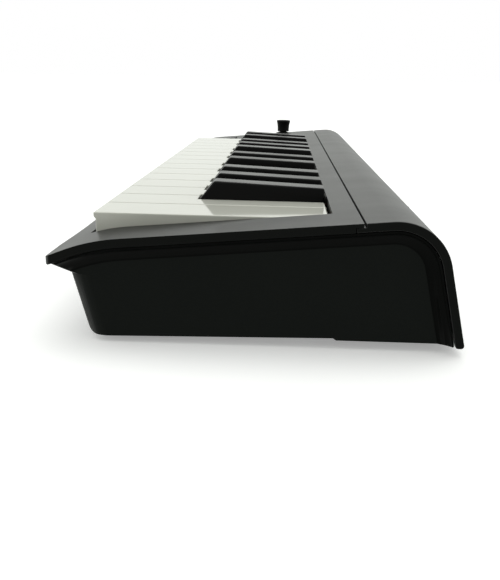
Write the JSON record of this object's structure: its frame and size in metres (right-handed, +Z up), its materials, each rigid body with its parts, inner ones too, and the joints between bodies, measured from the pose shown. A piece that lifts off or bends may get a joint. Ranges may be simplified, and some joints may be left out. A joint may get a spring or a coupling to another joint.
{
  "type": "mini-key keyboard controller",
  "caption": "Compact keyboard controller with hinged mini keys, a two-axis joystick, panel buttons and a curved shell cover over a recessed lower case.",
  "frame": {"origin": "centre of the bounding box's footprint, at the bottom of the rubber feet", "axes": "+X to the player's right along the keys, +Y to the rear, +Z up"},
  "size_m": [0.395, 0.1315, 0.0515],
  "materials": {
    "case_plastic": "matte",
    "chassis_plastic": "matte",
    "axle_steel": "satin",
    "spring_steel": "satin",
    "circuit_board": "satin",
    "contact_rubber": "matte",
    "felt": "matte",
    "socket_metal": "satin",
    "ribbon": "satin",
    "stick_plastic": "satin",
    "pot_metal": "satin",
    "switch_plastic": "satin",
    "lamp_plastic": "gloss",
    "foot_rubber": "matte",
    "screw_steel": "satin",
    "button_plastic": "satin",
    "white_key_plastic": "gloss",
    "black_key_plastic": "satin"
  },
  "bodies": {
    "case": {"lower_case": "case_plastic", "top_cover": "case_plastic", "rear_cover": "case_plastic", "key_chassis": "chassis_plastic", "key_axle": "axle_steel", "key_springs": "spring_steel", "contact_board": "circuit_board", "rubber_contact_strip": "contact_rubber", "lower_stop_felt": "felt", "upper_stop_felt": "felt", "main_board": "circuit_board", "usb_socket": "socket_metal", "board_ribbon_cable": "ribbon", "joystick_housing": "chassis_plastic", "joystick_pots": "pot_metal", "joystick_spring": "spring_steel", "button_board": "circuit_board", "tact_switches": "switch_plastic", "button_lamps": "lamp_plastic", "rubber_feet": "foot_rubber", "case_screws": "screw_steel", "chassis_screws": "screw_steel", "board_screws": "screw_steel"},
    "white_key_01_body": {"white_key_01": "white_key_plastic"},
    "white_key_02_body": {"white_key_02": "white_key_plastic"},
    "white_key_03_body": {"white_key_03": "white_key_plastic"},
    "white_key_04_body": {"white_key_04": "white_key_plastic"},
    "white_key_05_body": {"white_key_05": "white_key_plastic"},
    "white_key_06_body": {"white_key_06": "white_key_plastic"},
    "white_key_07_body": {"white_key_07": "white_key_plastic"},
    "white_key_08_body": {"white_key_08": "white_key_plastic"},
    "white_key_09_body": {"white_key_09": "white_key_plastic"},
    "white_key_10_body": {"white_key_10": "white_key_plastic"},
    "white_key_11_body": {"white_key_11": "white_key_plastic"},
    "white_key_12_body": {"white_key_12": "white_key_plastic"},
    "white_key_13_body": {"white_key_13": "white_key_plastic"},
    "white_key_14_body": {"white_key_14": "white_key_plastic"},
    "white_key_15_body": {"white_key_15": "white_key_plastic"},
    "black_key_01_body": {"black_key_01": "black_key_plastic"},
    "black_key_02_body": {"black_key_02": "black_key_plastic"},
    "black_key_03_body": {"black_key_03": "black_key_plastic"},
    "black_key_04_body": {"black_key_04": "black_key_plastic"},
    "black_key_05_body": {"black_key_05": "black_key_plastic"},
    "black_key_06_body": {"black_key_06": "black_key_plastic"},
    "black_key_07_body": {"black_key_07": "black_key_plastic"},
    "black_key_08_body": {"black_key_08": "black_key_plastic"},
    "black_key_09_body": {"black_key_09": "black_key_plastic"},
    "black_key_10_body": {"black_key_10": "black_key_plastic"},
    "joystick_yoke_body": {"joystick_yoke": "chassis_plastic"},
    "joystick_stick_body": {"joystick_stick": "stick_plastic", "joystick_cap": "stick_plastic"},
    "button_octave_down_body": {"button_octave_down": "button_plastic"},
    "button_octave_up_body": {"button_octave_up": "button_plastic"},
    "button_arpeggio_body": {"button_arpeggio": "button_plastic"},
    "button_sustain_body": {"button_sustain": "button_plastic"}
  },
  "joints": [
    {"name": "white_key_01_hinge", "type": "hinge", "parent": "case", "child": "white_key_01_body", "pos_m": [0, 0.0371, 0.0333], "axis": [1, 0, 0], "range_deg": [0, 3.7], "stiffness_Nm_per_rad": 0.3, "springref_deg": -5.73},
    {"name": "white_key_02_hinge", "type": "hinge", "parent": "case", "child": "white_key_02_body", "pos_m": [0, 0.0371, 0.0333], "axis": [1, 0, 0], "range_deg": [0, 3.7], "stiffness_Nm_per_rad": 0.3, "springref_deg": -5.73},
    {"name": "white_key_03_hinge", "type": "hinge", "parent": "case", "child": "white_key_03_body", "pos_m": [0, 0.0371, 0.0333], "axis": [1, 0, 0], "range_deg": [0, 3.7], "stiffness_Nm_per_rad": 0.3, "springref_deg": -5.73},
    {"name": "white_key_04_hinge", "type": "hinge", "parent": "case", "child": "white_key_04_body", "pos_m": [0, 0.0371, 0.0333], "axis": [1, 0, 0], "range_deg": [0, 3.7], "stiffness_Nm_per_rad": 0.3, "springref_deg": -5.73},
    {"name": "white_key_05_hinge", "type": "hinge", "parent": "case", "child": "white_key_05_body", "pos_m": [0, 0.0371, 0.0333], "axis": [1, 0, 0], "range_deg": [0, 3.7], "stiffness_Nm_per_rad": 0.3, "springref_deg": -5.73},
    {"name": "white_key_06_hinge", "type": "hinge", "parent": "case", "child": "white_key_06_body", "pos_m": [0, 0.0371, 0.0333], "axis": [1, 0, 0], "range_deg": [0, 3.7], "stiffness_Nm_per_rad": 0.3, "springref_deg": -5.73},
    {"name": "white_key_07_hinge", "type": "hinge", "parent": "case", "child": "white_key_07_body", "pos_m": [0, 0.0371, 0.0333], "axis": [1, 0, 0], "range_deg": [0, 3.7], "stiffness_Nm_per_rad": 0.3, "springref_deg": -5.73},
    {"name": "white_key_08_hinge", "type": "hinge", "parent": "case", "child": "white_key_08_body", "pos_m": [0, 0.0371, 0.0333], "axis": [1, 0, 0], "range_deg": [0, 3.7], "stiffness_Nm_per_rad": 0.3, "springref_deg": -5.73},
    {"name": "white_key_09_hinge", "type": "hinge", "parent": "case", "child": "white_key_09_body", "pos_m": [0, 0.0371, 0.0333], "axis": [1, 0, 0], "range_deg": [0, 3.7], "stiffness_Nm_per_rad": 0.3, "springref_deg": -5.73},
    {"name": "white_key_10_hinge", "type": "hinge", "parent": "case", "child": "white_key_10_body", "pos_m": [0, 0.0371, 0.0333], "axis": [1, 0, 0], "range_deg": [0, 3.7], "stiffness_Nm_per_rad": 0.3, "springref_deg": -5.73},
    {"name": "white_key_11_hinge", "type": "hinge", "parent": "case", "child": "white_key_11_body", "pos_m": [0, 0.0371, 0.0333], "axis": [1, 0, 0], "range_deg": [0, 3.7], "stiffness_Nm_per_rad": 0.3, "springref_deg": -5.73},
    {"name": "white_key_12_hinge", "type": "hinge", "parent": "case", "child": "white_key_12_body", "pos_m": [0, 0.0371, 0.0333], "axis": [1, 0, 0], "range_deg": [0, 3.7], "stiffness_Nm_per_rad": 0.3, "springref_deg": -5.73},
    {"name": "white_key_13_hinge", "type": "hinge", "parent": "case", "child": "white_key_13_body", "pos_m": [0, 0.0371, 0.0333], "axis": [1, 0, 0], "range_deg": [0, 3.7], "stiffness_Nm_per_rad": 0.3, "springref_deg": -5.73},
    {"name": "white_key_14_hinge", "type": "hinge", "parent": "case", "child": "white_key_14_body", "pos_m": [0, 0.0371, 0.0333], "axis": [1, 0, 0], "range_deg": [0, 3.7], "stiffness_Nm_per_rad": 0.3, "springref_deg": -5.73},
    {"name": "white_key_15_hinge", "type": "hinge", "parent": "case", "child": "white_key_15_body", "pos_m": [0, 0.0371, 0.0333], "axis": [1, 0, 0], "range_deg": [0, 3.7], "stiffness_Nm_per_rad": 0.3, "springref_deg": -5.73},
    {"name": "black_key_01_hinge", "type": "hinge", "parent": "case", "child": "black_key_01_body", "pos_m": [0, 0.0371, 0.0333], "axis": [1, 0, 0], "range_deg": [0, 3.7], "stiffness_Nm_per_rad": 0.3, "springref_deg": -5.73},
    {"name": "black_key_02_hinge", "type": "hinge", "parent": "case", "child": "black_key_02_body", "pos_m": [0, 0.0371, 0.0333], "axis": [1, 0, 0], "range_deg": [0, 3.7], "stiffness_Nm_per_rad": 0.3, "springref_deg": -5.73},
    {"name": "black_key_03_hinge", "type": "hinge", "parent": "case", "child": "black_key_03_body", "pos_m": [0, 0.0371, 0.0333], "axis": [1, 0, 0], "range_deg": [0, 3.7], "stiffness_Nm_per_rad": 0.3, "springref_deg": -5.73},
    {"name": "black_key_04_hinge", "type": "hinge", "parent": "case", "child": "black_key_04_body", "pos_m": [0, 0.0371, 0.0333], "axis": [1, 0, 0], "range_deg": [0, 3.7], "stiffness_Nm_per_rad": 0.3, "springref_deg": -5.73},
    {"name": "black_key_05_hinge", "type": "hinge", "parent": "case", "child": "black_key_05_body", "pos_m": [0, 0.0371, 0.0333], "axis": [1, 0, 0], "range_deg": [0, 3.7], "stiffness_Nm_per_rad": 0.3, "springref_deg": -5.73},
    {"name": "black_key_06_hinge", "type": "hinge", "parent": "case", "child": "black_key_06_body", "pos_m": [0, 0.0371, 0.0333], "axis": [1, 0, 0], "range_deg": [0, 3.7], "stiffness_Nm_per_rad": 0.3, "springref_deg": -5.73},
    {"name": "black_key_07_hinge", "type": "hinge", "parent": "case", "child": "black_key_07_body", "pos_m": [0, 0.0371, 0.0333], "axis": [1, 0, 0], "range_deg": [0, 3.7], "stiffness_Nm_per_rad": 0.3, "springref_deg": -5.73},
    {"name": "black_key_08_hinge", "type": "hinge", "parent": "case", "child": "black_key_08_body", "pos_m": [0, 0.0371, 0.0333], "axis": [1, 0, 0], "range_deg": [0, 3.7], "stiffness_Nm_per_rad": 0.3, "springref_deg": -5.73},
    {"name": "black_key_09_hinge", "type": "hinge", "parent": "case", "child": "black_key_09_body", "pos_m": [0, 0.0371, 0.0333], "axis": [1, 0, 0], "range_deg": [0, 3.7], "stiffness_Nm_per_rad": 0.3, "springref_deg": -5.73},
    {"name": "black_key_10_hinge", "type": "hinge", "parent": "case", "child": "black_key_10_body", "pos_m": [0, 0.0371, 0.0333], "axis": [1, 0, 0], "range_deg": [0, 3.7], "stiffness_Nm_per_rad": 0.3, "springref_deg": -5.73},
    {"name": "joystick_left_right", "type": "hinge", "parent": "case", "child": "joystick_yoke_body", "pos_m": [-0.1595, 0.0075, 0.03], "axis": [0, 1, 0], "range_deg": [-20, 20], "stiffness_Nm_per_rad": 0.05},
    {"name": "joystick_fore_aft", "type": "hinge", "parent": "joystick_yoke_body", "child": "joystick_stick_body", "pos_m": [-0.1595, 0.0075, 0.03], "axis": [1, 0, 0], "range_deg": [-20, 20], "stiffness_Nm_per_rad": 0.05},
    {"name": "button_octave_down_press", "type": "slide", "parent": "case", "child": "button_octave_down_body", "axis": [0, 0, -1], "range_m": [0, 0.0008], "stiffness_N_per_m": 600, "springref_m": -0.0008},
    {"name": "button_octave_up_press", "type": "slide", "parent": "case", "child": "button_octave_up_body", "axis": [0, 0, -1], "range_m": [0, 0.0008], "stiffness_N_per_m": 600, "springref_m": -0.0008},
    {"name": "button_arpeggio_press", "type": "slide", "parent": "case", "child": "button_arpeggio_body", "axis": [0, 0, -1], "range_m": [0, 0.0008], "stiffness_N_per_m": 600, "springref_m": -0.0008},
    {"name": "button_sustain_press", "type": "slide", "parent": "case", "child": "button_sustain_body", "axis": [0, 0, -1], "range_m": [0, 0.0008], "stiffness_N_per_m": 600, "springref_m": -0.0008}
  ]
}
